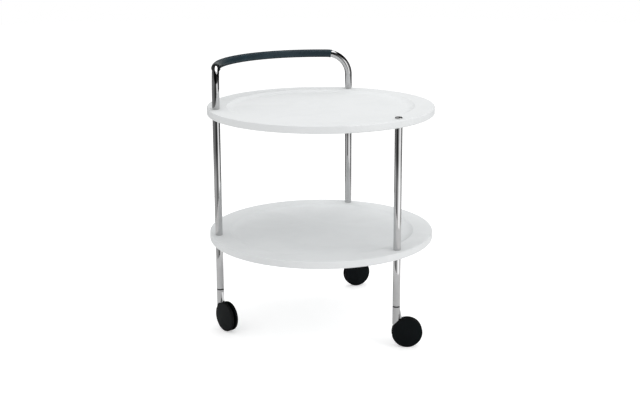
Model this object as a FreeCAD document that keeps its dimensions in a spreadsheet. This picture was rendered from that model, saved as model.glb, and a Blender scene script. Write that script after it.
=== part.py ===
import FreeCAD, Part
import math
import os
import Sketcher

# Round serving trolley: two coved trays on three tube legs, each leg on a twin-wheel castor,
# with a leather-wrapped bow handle over the upper tray. Millimetres and degrees. The origin is
# on the floor, on the trays' common axis, with +Z up. Seen from above, the left leg stands at
# 180 degrees, and the back and front legs follow it clockwise. The handle joins the first two.

FULL_TURN = 360
QUARTER_TURN = FULL_TURN / 4
LEGS = ("left", "back", "front")
HANDLE_LEGS = 2
FIRST_LEG_ANGLE = 180
LEG_STEP_ANGLE = FULL_TURN / len(LEGS)
LEG_ANGLES = {leg: FIRST_LEG_ANGLE - LEG_STEP_ANGLE * number for number, leg in enumerate(LEGS)}
HANDLE_MIDDLE_ANGLE = (LEG_ANGLES["left"] + LEG_ANGLES["back"]) / 2

SIZES = {
    # trays
    "tray_diameter": 500,
    "tray_thickness": 16,
    "tray_edge_round": 2,
    "rim_width": 43,
    "recess_depth": 5,
    "recess_edge_round": 0.8,
    "cove_width": 17,
    # legs
    "leg_edge_distance": 17.5,
    "tube_diameter": 16,
    "tube_wall": 1.5,
    "lower_post_length": 107.2,
    "upper_post_length": 264.4,
    # bow handle and its leather sleeve
    "handle_rise": 83.2,
    "handle_bend_radius": 50,
    "handle_turn_in_angle": 10.4,
    "grip_thickness": 1,
    "grip_clearance": 0.05,
    "grip_bend_cover_angle": 10.3,
    # fasteners between tubes and trays
    "stud_diameter": 8,
    "stud_engagement": 20,
    "stud_clearance": 0.05,
    "plug_length": 25,
    "plug_clearance": 0.05,
    "bush_wall": 1.8,
    "bush_bore_play": 0.2,
    "bush_clearance": 0.1,
    "washer_edge_inset": 0.5,
    "washer_thickness": 0.8,
    "cap_height": 2.4,
    "cap_edge_round": 1.6,
    # castor sockets and swivel stems
    "socket_length": 34,
    "flange_edge_inset": 0.4,
    "flange_thickness": 1.5,
    "stem_diameter": 8,
    "stem_grip_length": 30,
    "stem_seat_depth": 22,
    "stem_end_chamfer": 1,
    "ring_height": 20,
    "ring_thickness": 1.6,
    "ring_proud": 0.6,
    "ring_inset": 0.7,
    "ring_slot": 1.2,
    "groove_play": 0.1,
    "swivel_washer_thickness": 1.5,
    "running_clearance": 0.05,
    "press_clearance": 0.02,
    # castor bodies
    "castor_height": 90,
    "castor_trail": 23.6,
    "barrel_diameter": 16,
    "barrel_bottom": 51,
    "fin_thickness": 5,
    "fin_inset": 0.6,
    "fin_top_drop": 2,
    "fin_slope_width": 4.5,
    "fin_slope_foot_drop": 3,
    "fin_nose_radius": 7,
    "fin_hub_radius": 9,
    "axle_diameter": 6,
    "axle_chamfer": 0.5,
    "axle_end_play": 0.2,
    # wheels
    "wheel_diameter": 66,
    "wheel_side_gap": 0.5,
    "wheel_body_gap": 1.2,
    "wheel_width": 4.9,
    "wheel_dome": 0.9,
    "disc_edge_break": 0.4,
    "disc_cover": 1.4,
    "tread_thickness": 2,
    "tread_inner_round": 0.7,
    "tread_crown_width": 1.5,
    "tread_shoulder_drop": 0.8,
    # which way each castor trails when the trolley stands as pictured
    "left_castor_angle": 295.5,
    "back_castor_angle": 9.4,
    "front_castor_angle": 346.7,
}


class Size:
    """A length or an angle: its value now, and the expression that gives it from the sheet."""

    def __init__(self, value, text):
        self.value = float(value)
        self.text = text

    def __add__(self, other):
        other = as_size(other)
        return Size(self.value + other.value, f"({self.text} + {other.text})")

    def __sub__(self, other):
        other = as_size(other)
        return Size(self.value - other.value, f"({self.text} - {other.text})")

    def __mul__(self, other):
        other = as_size(other)
        return Size(self.value * other.value, f"({self.text} * {other.text})")

    def __truediv__(self, other):
        other = as_size(other)
        return Size(self.value / other.value, f"({self.text} / {other.text})")

    def __radd__(self, other):
        return as_size(other) + self

    def __rsub__(self, other):
        return as_size(other) - self

    def __rmul__(self, other):
        return as_size(other) * self

    def __neg__(self):
        return Size(-self.value, f"(0 - {self.text})")


def as_size(number):
    return number if isinstance(number, Size) else Size(number, f"({number})")


def cosine(angle):
    angle = as_size(angle)
    return Size(math.cos(math.radians(angle.value)), f"cos({angle.text})")


def sine(angle):
    angle = as_size(angle)
    return Size(math.sin(math.radians(angle.value)), f"sin({angle.text})")


doc = FreeCAD.newDocument("ServingTrolley")
sheet = doc.addObject("Spreadsheet::Sheet", "Sizes")
for row, (alias, number) in enumerate(SIZES.items(), start=1):
    sheet.set(f"A{row}", alias)
    sheet.set(f"B{row}", str(number))
    sheet.setAlias(f"B{row}", alias)
doc.recompute()

PIECES = []
S = {alias: Size(number, f"Sizes.{alias}") for alias, number in SIZES.items()}

# ---- heights and radii that several pieces share ----

TRAY_RADIUS = S["tray_diameter"] / 2
LEG_RADIUS = TRAY_RADIUS - S["leg_edge_distance"]
TUBE_RADIUS = S["tube_diameter"] / 2
TUBE_BORE = TUBE_RADIUS - S["tube_wall"]
STUD_RADIUS = S["stud_diameter"] / 2
BUSH_BORE = STUD_RADIUS + S["bush_bore_play"]
BUSH_RADIUS = BUSH_BORE + S["bush_wall"]
WASHER = S["washer_thickness"]
STEM_RADIUS = S["stem_diameter"] / 2
FLANGE_RADIUS = TUBE_RADIUS - S["flange_edge_inset"]
RING_RADIUS = STEM_RADIUS + S["ring_proud"]
RING_BORE = STEM_RADIUS - S["ring_inset"]

SOCKET_SEAT = S["castor_height"] + S["swivel_washer_thickness"] + S["flange_thickness"]
LOWER_POST_TOP = SOCKET_SEAT + S["lower_post_length"]
LOWER_TRAY_BOTTOM = LOWER_POST_TOP + WASHER
LOWER_TRAY_TOP = LOWER_TRAY_BOTTOM + S["tray_thickness"]
UPPER_POST_BOTTOM = LOWER_TRAY_TOP + WASHER
UPPER_POST_TOP = UPPER_POST_BOTTOM + S["upper_post_length"]
UPPER_TRAY_BOTTOM = UPPER_POST_TOP + WASHER
UPPER_TRAY_TOP = UPPER_TRAY_BOTTOM + S["tray_thickness"]
HANDLE_FOOT = UPPER_TRAY_TOP + WASHER
HANDLE_AXIS = HANDLE_FOOT + S["handle_rise"]

WHEEL_RADIUS = S["wheel_diameter"] / 2
FIN_HALF = S["fin_thickness"] / 2
WHEEL_INNER = FIN_HALF + S["wheel_side_gap"]
WHEEL_OUTER = WHEEL_INNER + S["wheel_width"]
AXLE_REACH = WHEEL_OUTER + S["wheel_dome"] - S["disc_cover"] - S["axle_end_play"]


# ---- document helpers ----

def bind(item, **sizes):
    """Tie properties of a document object to sizes."""
    for path, size in sizes.items():
        item.setExpression(path, as_size(size).text)


def place(item, x=0, y=0, z=0, turn=0):
    """Put an object at a point, turned about the vertical."""
    item.setExpression("Placement", place_text(x, y, z, turn))


def place_text(x, y, z, turn):
    x, y, z, turn = (as_size(number).text for number in (x, y, z, turn))
    return f"placement(vector({x}; {y}; {z}); rotation(vector(0; 0; 1); {turn}))"


def leg_point(leg):
    angle = LEG_ANGLES[leg]
    return LEG_RADIUS * cosine(angle), LEG_RADIUS * sine(angle)


def origin_feature(body, role):
    return next(item for item in body.Origin.OriginFeatures if item.Role == role)


def new_body(name):
    body = doc.addObject("PartDesign::Body", name)
    body.Label = name
    PIECES.append(body)
    return body


def new_sketch(body, name, plane, lift=None):
    sketch = body.newObject("Sketcher::SketchObject", f"{body.Name}_{name}")
    sketch.AttachmentSupport = [(origin_feature(body, plane), "")]
    sketch.MapMode = "FlatFace"
    if lift is not None:
        sketch.setExpression("AttachmentOffset.Base.z", as_size(lift).text)
    return sketch


def pin(sketch, kind, edge, end, size):
    """Hold one coordinate of a point at a size from the sketch's origin."""
    size = as_size(size)
    index = sketch.addConstraint(Sketcher.Constraint(kind, -1, 1, edge, end, size.value))
    sketch.setExpression(f"Constraints[{index}]", size.text)


def draw_circle(sketch, radius, x=0, y=0):
    x, y, radius = as_size(x), as_size(y), as_size(radius)
    centre = FreeCAD.Vector(x.value, y.value, 0)
    circle = Part.Circle(centre, FreeCAD.Vector(0, 0, 1), radius.value)
    edge = sketch.addGeometry(circle)
    index = sketch.addConstraint(Sketcher.Constraint("Radius", edge, radius.value))
    sketch.setExpression(f"Constraints[{index}]", radius.text)
    pin(sketch, "DistanceX", edge, 3, x)
    pin(sketch, "DistanceY", edge, 3, y)


def arc_through(start, end, radius, side):
    """Short arc between two points; side is +1 with its centre on the left of the way, else -1."""
    chord = end - start
    middle = (start + end) / 2
    left = FreeCAD.Vector(-chord.y, chord.x, 0) / chord.Length
    rise = math.sqrt(max(radius ** 2 - (chord.Length / 2) ** 2, 0))
    centre = middle + left * (side * rise)
    first, last = (start, end) if side > 0 else (end, start)
    start_angle = math.atan2(first.y - centre.y, first.x - centre.x)
    end_angle = math.atan2(last.y - centre.y, last.x - centre.x)
    if end_angle < start_angle:
        end_angle += 2 * math.pi
    circle = Part.Circle(centre, FreeCAD.Vector(0, 0, 1), radius)
    return Part.ArcOfCircle(circle, start_angle, end_angle)


def draw_outline(sketch, corners, arcs=None):
    """Closed outline through pinned corners; arcs gives (radius, side) after a corner's number."""
    arcs = arcs or {}
    corners = [(as_size(x), as_size(y)) for x, y in corners]
    points = [FreeCAD.Vector(x.value, y.value, 0) for x, y in corners]
    count = len(points)
    starts, ends = [], []
    for number, point in enumerate(points):
        after = points[(number + 1) % count]
        if number in arcs:
            radius, side = arcs[number]
            radius = as_size(radius)
            edge = sketch.addGeometry(arc_through(point, after, radius.value, side))
            starts.append((edge, 1 if side > 0 else 2))
            ends.append((edge, 2 if side > 0 else 1))
        else:
            edge = sketch.addGeometry(Part.LineSegment(point, after))
            starts.append((edge, 1))
            ends.append((edge, 2))
    for number, (x, y) in enumerate(corners):
        sketch.addConstraint(Sketcher.Constraint("Coincident", *ends[number - 1], *starts[number]))
        pin(sketch, "DistanceX", *starts[number], x)
        pin(sketch, "DistanceY", *starts[number], y)
    for number, (radius, side) in arcs.items():
        radius = as_size(radius)
        edge = starts[number][0]
        index = sketch.addConstraint(Sketcher.Constraint("Radius", edge, radius.value))
        sketch.setExpression(f"Constraints[{index}]", radius.text)


def pad(body, sketch, length, both_ways=False):
    feature = body.newObject("PartDesign::Pad", f"{sketch.Name}_pad")
    feature.Profile = sketch
    feature.SideType = "Symmetric" if both_ways else "One side"
    bind(feature, Length=length)
    return feature


def cut(body, sketch, depth, both_ways=False, upwards=False):
    """Pocket of a set depth, checked to take something away."""
    doc.recompute()
    before = body.Shape.Volume
    feature = body.newObject("PartDesign::Pocket", f"{sketch.Name}_cut")
    feature.Profile = sketch
    feature.SideType = "Symmetric" if both_ways else "One side"
    feature.Reversed = upwards
    bind(feature, Length=depth)
    doc.recompute()
    if not feature.Shape.Volume < before:
        raise RuntimeError(f"{feature.Name} cuts nothing")
    return feature


def revolve(body, sketch):
    feature = body.newObject("PartDesign::Revolution", f"{sketch.Name}_turned")
    feature.Profile = sketch
    feature.ReferenceAxis = (sketch, ["V_Axis"])
    feature.Angle = FULL_TURN
    return feature


def at_the_legs(body, feature, legs=len(LEGS)):
    """Repeat a feature made at the left leg at the next legs, clockwise from above."""
    pattern = body.newObject("PartDesign::PolarPattern", f"{feature.Name}_legs")
    pattern.Originals = [feature]
    pattern.Axis = (origin_feature(body, "Z_Axis"), [""])
    pattern.Reversed = True
    pattern.Angle = FULL_TURN if legs == len(LEGS) else LEG_STEP_ANGLE * (legs - 1)
    pattern.Occurrences = legs
    body.Tip = pattern
    return pattern


def break_edges(body, feature, kind, size, wanted):
    """Fillet or chamfer the circular edges of a feature that a test picks out."""
    doc.recompute()
    edges = [f"Edge{number}" for number, edge in enumerate(feature.Shape.Edges, start=1)
             if isinstance(edge.Curve, Part.Circle) and wanted(edge.Curve)]
    dress = body.newObject(f"PartDesign::{kind}", f"{feature.Name}_{kind.lower()}")
    dress.Base = (feature, edges)
    if kind == "Fillet":
        bind(dress, Radius=size)
    else:
        bind(dress, Size=size)
    return dress


def ring_at_legs(name, outer, inner, height, bottom, legs=len(LEGS)):
    """One ring at each leg: washers, bushes and plugs."""
    body = new_body(name)
    sketch = new_sketch(body, "ring", "XY_Plane")
    draw_circle(sketch, outer, x=-LEG_RADIUS)
    draw_circle(sketch, inner, x=-LEG_RADIUS)
    at_the_legs(body, pad(body, sketch, height), legs)
    place(body, z=bottom)


# ---- trays ----

def make_tray(name, bottom):
    """Round board with a flat rim and a shallow recess whose edge is a cove."""
    rim = TRAY_RADIUS - S["rim_width"]
    cove = S["cove_width"]
    depth = S["recess_depth"]
    top = S["tray_thickness"]
    cove_radius = (cove * cove + depth * depth) / (2 * depth)
    body = new_body(name)
    profile = new_sketch(body, "profile", "XZ_Plane")
    corners = [(0, 0), (TRAY_RADIUS, 0), (TRAY_RADIUS, top), (rim, top),
               (rim - cove, top - depth), (0, top - depth)]
    draw_outline(profile, corners, arcs={3: (cove_radius, -1)})
    board = revolve(body, profile)
    outer = break_edges(body, board, "Fillet", S["tray_edge_round"],
                        lambda curve: abs(curve.Radius - TRAY_RADIUS.value) < 0.01)
    rounded = break_edges(body, outer, "Fillet", S["recess_edge_round"],
                          lambda curve: abs(curve.Radius - rim.value) < 0.01)
    holes = new_sketch(body, "holes", "XY_Plane")
    draw_circle(holes, BUSH_RADIUS + S["bush_clearance"], x=-LEG_RADIUS)
    body.Tip = rounded
    at_the_legs(body, cut(body, holes, top, upwards=True))
    place(body, z=bottom)


make_tray("lower_tray", LOWER_TRAY_BOTTOM)
make_tray("upper_tray", UPPER_TRAY_BOTTOM)


# ---- leg tubes ----

def make_post(name, leg, bottom, length):
    body = new_body(name)
    section = new_sketch(body, "section", "XY_Plane")
    draw_circle(section, TUBE_RADIUS)
    draw_circle(section, TUBE_BORE)
    pad(body, section, length)
    x, y = leg_point(leg)
    place(body, x, y, bottom)


for leg in LEGS:
    make_post(f"{leg}_lower_post", leg, SOCKET_SEAT, S["lower_post_length"])
    make_post(f"{leg}_upper_post", leg, UPPER_POST_BOTTOM, S["upper_post_length"])


# ---- bow handle ----

# The bow is mirrored about the middle of its two legs. Its bends turn in a little from the
# tangent of the leg circle, so the level arc has a centre of its own, off the trays' axis.
HALF_SPAN_ANGLE = LEG_STEP_ANGLE / 2
HALF_ARC_ANGLE = HALF_SPAN_ANGLE - S["handle_turn_in_angle"]
BEND_RADIUS = S["handle_bend_radius"]
ARC_RADIUS = (LEG_RADIUS * sine(HALF_SPAN_ANGLE)
              - BEND_RADIUS * cosine(HALF_ARC_ANGLE)) / sine(HALF_ARC_ANGLE)
ARC_OFFSET = (LEG_RADIUS * cosine(HALF_SPAN_ANGLE) + BEND_RADIUS * sine(HALF_ARC_ANGLE)
              - ARC_RADIUS * cosine(HALF_ARC_ANGLE))
BEND_HEIGHT = HANDLE_AXIS - BEND_RADIUS
BEND_HEADINGS = {
    "left": HANDLE_MIDDLE_ANGLE - QUARTER_TURN + HALF_ARC_ANGLE,
    "back": HANDLE_MIDDLE_ANGLE + QUARTER_TURN - HALF_ARC_ANGLE,
}
GRIP_BORE = TUBE_RADIUS + S["grip_clearance"]


def handle_arc(name, tube_radius):
    """Level arc between the two bends."""
    ring = doc.addObject("Part::Torus", name)
    bind(ring, Radius1=ARC_RADIUS, Radius2=tube_radius, Angle3=2 * HALF_ARC_ANGLE)
    place(ring, ARC_OFFSET * cosine(HANDLE_MIDDLE_ANGLE), ARC_OFFSET * sine(HANDLE_MIDDLE_ANGLE),
          HANDLE_AXIS, HANDLE_MIDDLE_ANGLE - HALF_ARC_ANGLE)
    return ring


def handle_bend(name, leg, tube_radius, skipped, sweep):
    """Part of the bend above a leg, from an angle skipped above the level of its centre."""
    x, y = leg_point(leg)
    heading = BEND_HEADINGS[leg]
    ring = doc.addObject("Part::Torus", name)
    bind(ring, Radius1=BEND_RADIUS, Radius2=tube_radius, Angle3=sweep)
    upright = place_text(x + BEND_RADIUS * cosine(heading), y + BEND_RADIUS * sine(heading),
                         BEND_HEIGHT, heading + 2 * QUARTER_TURN)
    stand = f"placement(vector(0; 0; 0); rotation(vector(1; 0; 0); {QUARTER_TURN}))"
    start = f"placement(vector(0; 0; 0); rotation(vector(0; 0; 1); {as_size(skipped).text}))"
    ring.setExpression("Placement", f"{upright} * {stand} * {start}")
    return ring


def handle_foot(name, leg, tube_radius):
    """Upright end of the bow on a leg."""
    x, y = leg_point(leg)
    rod = doc.addObject("Part::Cylinder", name)
    bind(rod, Radius=tube_radius, Height=BEND_HEIGHT - HANDLE_FOOT)
    place(rod, x, y, HANDLE_FOOT)
    return rod


def fuse(name, shapes):
    joined = doc.addObject("Part::MultiFuse", name)
    joined.Shapes = shapes
    return joined


def bow_rod(name, tube_radius):
    """The bow's whole run as a solid rod."""
    runs = [handle_arc(f"{name}_arc", tube_radius)]
    for leg in BEND_HEADINGS:
        runs.append(handle_bend(f"{name}_{leg}_bend", leg, tube_radius, 0, QUARTER_TURN))
        runs.append(handle_foot(f"{name}_{leg}_foot", leg, tube_radius))
    return fuse(name, runs)


def sleeve_rod(name, tube_radius):
    """The run that the leather covers as a solid rod: the level arc and the end of each bend."""
    cover = S["grip_bend_cover_angle"]
    runs = [handle_arc(f"{name}_arc", tube_radius)]
    for leg in BEND_HEADINGS:
        skipped = QUARTER_TURN - cover
        runs.append(handle_bend(f"{name}_{leg}_bend", leg, tube_radius, skipped, cover))
    return fuse(name, runs)


def hollow(name, outer, inner):
    """A tube: an outer rod less an inner one."""
    tube = doc.addObject("Part::Cut", name)
    tube.Base = outer
    tube.Tool = inner
    tube.Label = name
    PIECES.append(tube)


hollow("handle_bow", bow_rod("bow_outside", TUBE_RADIUS), bow_rod("bow_inside", TUBE_BORE))
hollow("handle_grip", sleeve_rod("grip_outside", GRIP_BORE + S["grip_thickness"]),
       sleeve_rod("grip_inside", GRIP_BORE))


# ---- fasteners between tubes and trays ----

PLUG_RADIUS = TUBE_BORE - S["plug_clearance"]
PLUG_BORE = STUD_RADIUS + S["stud_clearance"]
PLUG = S["plug_length"]


def make_plugs(name, bottom, legs=len(LEGS)):
    ring_at_legs(name, PLUG_RADIUS, PLUG_BORE, PLUG, bottom, legs)


def make_washers(name, bottom):
    ring_at_legs(name, TUBE_RADIUS - S["washer_edge_inset"], BUSH_BORE, WASHER, bottom)


def make_bushes(name, bottom):
    ring_at_legs(name, BUSH_RADIUS, BUSH_BORE, S["tray_thickness"], bottom)


def make_studs(name, tray_bottom, legs):
    """Studs through a tray into the plugs below and above it."""
    reach = WASHER + S["stud_engagement"]
    body = new_body(name)
    sketch = new_sketch(body, "section", "XY_Plane")
    draw_circle(sketch, STUD_RADIUS, x=-LEG_RADIUS)
    at_the_legs(body, pad(body, sketch, S["tray_thickness"] + 2 * reach), legs)
    place(body, z=tray_bottom - reach)


make_plugs("lower_post_top_plugs", LOWER_POST_TOP - PLUG)
make_plugs("upper_post_bottom_plugs", UPPER_POST_BOTTOM)
make_plugs("upper_post_top_plugs", UPPER_POST_TOP - PLUG)
make_plugs("handle_end_plugs", HANDLE_FOOT, HANDLE_LEGS)
make_washers("lower_tray_underside_washers", LOWER_POST_TOP)
make_washers("lower_tray_top_washers", LOWER_TRAY_TOP)
make_washers("upper_tray_underside_washers", UPPER_POST_TOP)
make_washers("upper_tray_top_washers", UPPER_TRAY_TOP)
make_bushes("lower_tray_bushes", LOWER_TRAY_BOTTOM)
make_bushes("upper_tray_bushes", UPPER_TRAY_BOTTOM)
make_studs("lower_tray_studs", LOWER_TRAY_BOTTOM, len(LEGS))
make_studs("upper_tray_studs", UPPER_TRAY_BOTTOM, HANDLE_LEGS)


def make_front_post_cap():
    """Domed cap on the front leg, with the shank that takes the place of a stud."""
    reach = 2 * WASHER + S["tray_thickness"] + S["stud_engagement"]
    height = S["cap_height"]
    body = new_body("front_post_cap")
    profile = new_sketch(body, "profile", "XZ_Plane")
    corners = [(0, -reach), (STUD_RADIUS, -reach), (STUD_RADIUS, 0), (TUBE_RADIUS, 0),
               (TUBE_RADIUS, height), (0, height)]
    draw_outline(profile, corners)
    turned = revolve(body, profile)
    break_edges(body, turned, "Fillet", S["cap_edge_round"],
                lambda curve: abs(curve.Radius - TUBE_RADIUS.value) < 0.01 and curve.Center.z > 1)
    x, y = leg_point("front")
    place(body, x, y, HANDLE_FOOT)


make_front_post_cap()


# ---- castors ----

# Each castor has its own frame: the swivel axis is its Z axis, with zero on the floor, and the
# wheels trail along its X axis. The fin's round foot starts HUB_CORNER_ANGLE below the axle.

HUB_CORNER_ANGLE = 30


def place_on_castor(body, leg, along=0, height=0, flip=0):
    """Put a piece on a leg's castor, at a distance along its trail."""
    x, y = leg_point(leg)
    angle = S[f"{leg}_castor_angle"]
    place(body, x + along * cosine(angle), y + along * sine(angle), height, angle + flip)


def make_socket(leg):
    """Plastic sleeve in the foot of a lower post, with a flange under it and a groove inside."""
    bore = STEM_RADIUS + S["running_clearance"]
    groove = RING_RADIUS + S["groove_play"]
    groove_bottom = S["ring_height"] - S["groove_play"]
    groove_top = S["ring_height"] + S["ring_thickness"] + S["groove_play"]
    body = new_body(f"{leg}_castor_socket")
    profile = new_sketch(body, "profile", "XZ_Plane")
    corners = [(bore, -S["flange_thickness"]), (FLANGE_RADIUS, -S["flange_thickness"]),
               (FLANGE_RADIUS, 0), (PLUG_RADIUS, 0), (PLUG_RADIUS, S["socket_length"]),
               (bore, S["socket_length"]), (bore, groove_top), (groove, groove_top),
               (groove, groove_bottom), (bore, groove_bottom)]
    draw_outline(profile, corners)
    revolve(body, profile)
    place_on_castor(body, leg, height=SOCKET_SEAT)


def make_stem(leg):
    """Swivel stem, seated in the castor body, with a groove for its grip ring."""
    chamfer = S["stem_end_chamfer"]
    groove = RING_BORE - S["groove_play"]
    bottom = S["castor_height"] - S["stem_seat_depth"]
    top = SOCKET_SEAT + S["stem_grip_length"]
    groove_bottom = SOCKET_SEAT + S["ring_height"] - S["groove_play"]
    groove_top = SOCKET_SEAT + S["ring_height"] + S["ring_thickness"] + S["groove_play"]
    body = new_body(f"{leg}_castor_stem")
    profile = new_sketch(body, "profile", "XZ_Plane")
    corners = [(0, bottom), (STEM_RADIUS, bottom), (STEM_RADIUS, groove_bottom),
               (groove, groove_bottom), (groove, groove_top), (STEM_RADIUS, groove_top),
               (STEM_RADIUS, top - chamfer), (STEM_RADIUS - chamfer, top), (0, top)]
    draw_outline(profile, corners)
    revolve(body, profile)
    place_on_castor(body, leg)


def make_grip_ring(leg):
    """Split ring that holds the stem in its socket."""
    body = new_body(f"{leg}_castor_grip_ring")
    section = new_sketch(body, "section", "XY_Plane")
    draw_circle(section, RING_RADIUS)
    draw_circle(section, RING_BORE)
    pad(body, section, S["ring_thickness"])
    slot = new_sketch(body, "slot", "XY_Plane")
    half = S["ring_slot"] / 2
    reach = 2 * RING_RADIUS
    draw_outline(slot, [(0, -half), (reach, -half), (reach, half), (0, half)])
    cut(body, slot, S["ring_thickness"], upwards=True)
    place_on_castor(body, leg, height=SOCKET_SEAT + S["ring_height"])


def make_swivel_washer(leg):
    body = new_body(f"{leg}_swivel_washer")
    section = new_sketch(body, "section", "XY_Plane")
    draw_circle(section, FLANGE_RADIUS)
    draw_circle(section, STEM_RADIUS + S["running_clearance"])
    pad(body, section, S["swivel_washer_thickness"])
    place_on_castor(body, leg, height=S["castor_height"])


def make_castor_body(leg):
    """Barrel round the stem, and a fin that reaches down between the wheels to the axle."""
    trail = S["castor_trail"]
    barrel = S["barrel_diameter"] / 2
    edge = barrel - S["fin_inset"]
    nose = S["fin_nose_radius"]
    fin_top = S["castor_height"] - S["fin_top_drop"]
    slope_foot = S["wheel_diameter"] - S["fin_slope_foot_drop"]
    hub = S["fin_hub_radius"]
    hub_width = hub * cosine(HUB_CORNER_ANGLE)
    hub_corner = WHEEL_RADIUS - hub * sine(HUB_CORNER_ANGLE)
    base = S["barrel_bottom"]
    body = new_body(f"{leg}_castor_body")
    round_section = new_sketch(body, "barrel", "XY_Plane", lift=base)
    draw_circle(round_section, barrel)
    pad(body, round_section, S["castor_height"] - base)
    room = new_sketch(body, "wheel_room", "XZ_Plane")
    draw_circle(room, WHEEL_RADIUS + S["wheel_body_gap"], x=trail, y=WHEEL_RADIUS)
    cut(body, room, 2 * S["barrel_diameter"], both_ways=True)
    side = new_sketch(body, "fin", "XZ_Plane")
    corners = [(-edge, fin_top), (-edge, base), (nose - edge, base - nose),
               (trail - hub_width, hub_corner), (trail + hub_width, hub_corner),
               (barrel + S["fin_slope_width"], slope_foot), (edge, fin_top)]
    draw_outline(side, corners, arcs={1: (nose, 1), 3: (hub, 1)})
    pad(body, side, S["fin_thickness"], both_ways=True)
    seat = new_sketch(body, "stem_seat", "XY_Plane", lift=S["castor_height"])
    draw_circle(seat, STEM_RADIUS + S["press_clearance"])
    cut(body, seat, S["stem_seat_depth"])
    axle_hole = new_sketch(body, "axle_hole", "XZ_Plane")
    draw_circle(axle_hole, S["axle_diameter"] / 2 + S["press_clearance"], x=trail, y=WHEEL_RADIUS)
    cut(body, axle_hole, 2 * S["fin_thickness"], both_ways=True)
    place_on_castor(body, leg)


def make_axle(leg):
    body = new_body(f"{leg}_castor_axle")
    section = new_sketch(body, "section", "XZ_Plane")
    draw_circle(section, S["axle_diameter"] / 2)
    rod = pad(body, section, 2 * AXLE_REACH, both_ways=True)
    break_edges(body, rod, "Chamfer", S["axle_chamfer"], lambda curve: True)
    place_on_castor(body, leg, along=S["castor_trail"], height=WHEEL_RADIUS)


def make_wheel(leg, wheel, flip):
    """Disc with a slightly domed face, and the tread ring round it."""
    disc_radius = WHEEL_RADIUS - S["tread_thickness"]
    dome = S["wheel_dome"]
    edge = S["disc_edge_break"]
    face_radius = disc_radius - edge
    dome_radius = (face_radius * face_radius + dome * dome) / (2 * dome)
    bore = S["axle_diameter"] / 2 + S["running_clearance"]
    bore_end = AXLE_REACH + S["axle_end_play"]
    disc = new_body(f"{leg}_wheel_disc_{wheel}")
    profile = new_sketch(disc, "profile", "XY_Plane")
    corners = [(bore, WHEEL_INNER), (disc_radius, WHEEL_INNER), (disc_radius, WHEEL_OUTER - edge),
               (face_radius, WHEEL_OUTER), (0, WHEEL_OUTER + dome), (0, bore_end), (bore, bore_end)]
    draw_outline(profile, corners, arcs={3: (dome_radius, 1)})
    revolve(disc, profile)
    place_on_castor(disc, leg, along=S["castor_trail"], height=WHEEL_RADIUS, flip=flip)

    seat = disc_radius + S["press_clearance"]
    soft = S["tread_inner_round"]
    drop = S["tread_shoulder_drop"]
    crown_end = WHEEL_INNER + soft + S["tread_crown_width"]
    shoulder = WHEEL_OUTER - crown_end
    shoulder_radius = (shoulder * shoulder + drop * drop) / (2 * drop)
    tread = new_body(f"{leg}_wheel_tread_{wheel}")
    profile = new_sketch(tread, "profile", "XY_Plane")
    corners = [(seat, WHEEL_INNER), (WHEEL_RADIUS - soft, WHEEL_INNER),
               (WHEEL_RADIUS, WHEEL_INNER + soft), (WHEEL_RADIUS, crown_end),
               (WHEEL_RADIUS - drop, WHEEL_OUTER), (seat, WHEEL_OUTER)]
    draw_outline(profile, corners, arcs={1: (soft, 1), 3: (shoulder_radius, 1)})
    revolve(tread, profile)
    place_on_castor(tread, leg, along=S["castor_trail"], height=WHEEL_RADIUS, flip=flip)


for leg in LEGS:
    make_socket(leg)
    make_stem(leg)
    make_grip_ring(leg)
    make_swivel_washer(leg)
    make_castor_body(leg)
    make_axle(leg)
    make_wheel(leg, "a", 0)
    make_wheel(leg, "b", 180)


# ---- check and write ----

doc.recompute()
for item in doc.Objects:
    if "Invalid" in item.State or "Error" in item.State:
        raise RuntimeError(f"{item.Name} failed: {item.State}")
for item in PIECES:
    if item.Shape.isNull() or not item.Shape.isValid():
        raise RuntimeError(f"{item.Label} has no valid shape")

os.makedirs("parts", exist_ok=True)
for item in PIECES:
    item.Shape.exportStep(f"parts/{item.Label}.step")
print(f"{len(PIECES)} pieces, {sum(len(item.Shape.Solids) for item in PIECES)} solids")
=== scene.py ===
import math

import bmesh
import bpy
from bpy.props import FloatProperty, FloatVectorProperty, PointerProperty
from mathutils import Matrix, Vector, noise


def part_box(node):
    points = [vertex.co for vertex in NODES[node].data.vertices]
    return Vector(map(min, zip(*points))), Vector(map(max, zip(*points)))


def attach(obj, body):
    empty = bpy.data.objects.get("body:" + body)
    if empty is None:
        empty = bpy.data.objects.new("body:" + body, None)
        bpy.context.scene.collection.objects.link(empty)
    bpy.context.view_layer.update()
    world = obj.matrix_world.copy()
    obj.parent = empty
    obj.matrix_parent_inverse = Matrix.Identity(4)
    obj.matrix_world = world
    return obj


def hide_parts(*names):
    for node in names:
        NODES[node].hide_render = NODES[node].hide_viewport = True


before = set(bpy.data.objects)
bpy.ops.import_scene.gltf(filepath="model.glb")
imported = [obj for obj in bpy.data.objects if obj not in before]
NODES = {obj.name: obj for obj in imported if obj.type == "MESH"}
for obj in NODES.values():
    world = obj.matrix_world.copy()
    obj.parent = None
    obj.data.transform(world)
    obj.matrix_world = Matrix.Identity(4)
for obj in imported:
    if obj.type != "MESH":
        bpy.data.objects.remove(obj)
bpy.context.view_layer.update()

bl_info = {
    "name": "Round serving trolley",
    "version": (1, 0, 0),
    "blender": (4, 5, 0),
    "location": "3D View > Sidebar > Trolley",
    "description": "Two-tier round trolley with chrome legs, leather handle and twin-wheel castors",
    "category": "Add Mesh",
}

# Metres. The trays' axis is the Z axis, and the floor is at zero.

LEGS = ("left", "back", "front")
UP = Vector((0, 0, 1))

# Points closer than this become one.
WELD = 0.00001
# How far the end of a spin may lie from its place.
SPIN_SLACK = 0.002
# An edge is rounded where its faces turn by more than this.
SHARP = math.radians(60)
# Size of the plane that is merged into a profile's first point.
SPECK = 0.001
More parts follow.
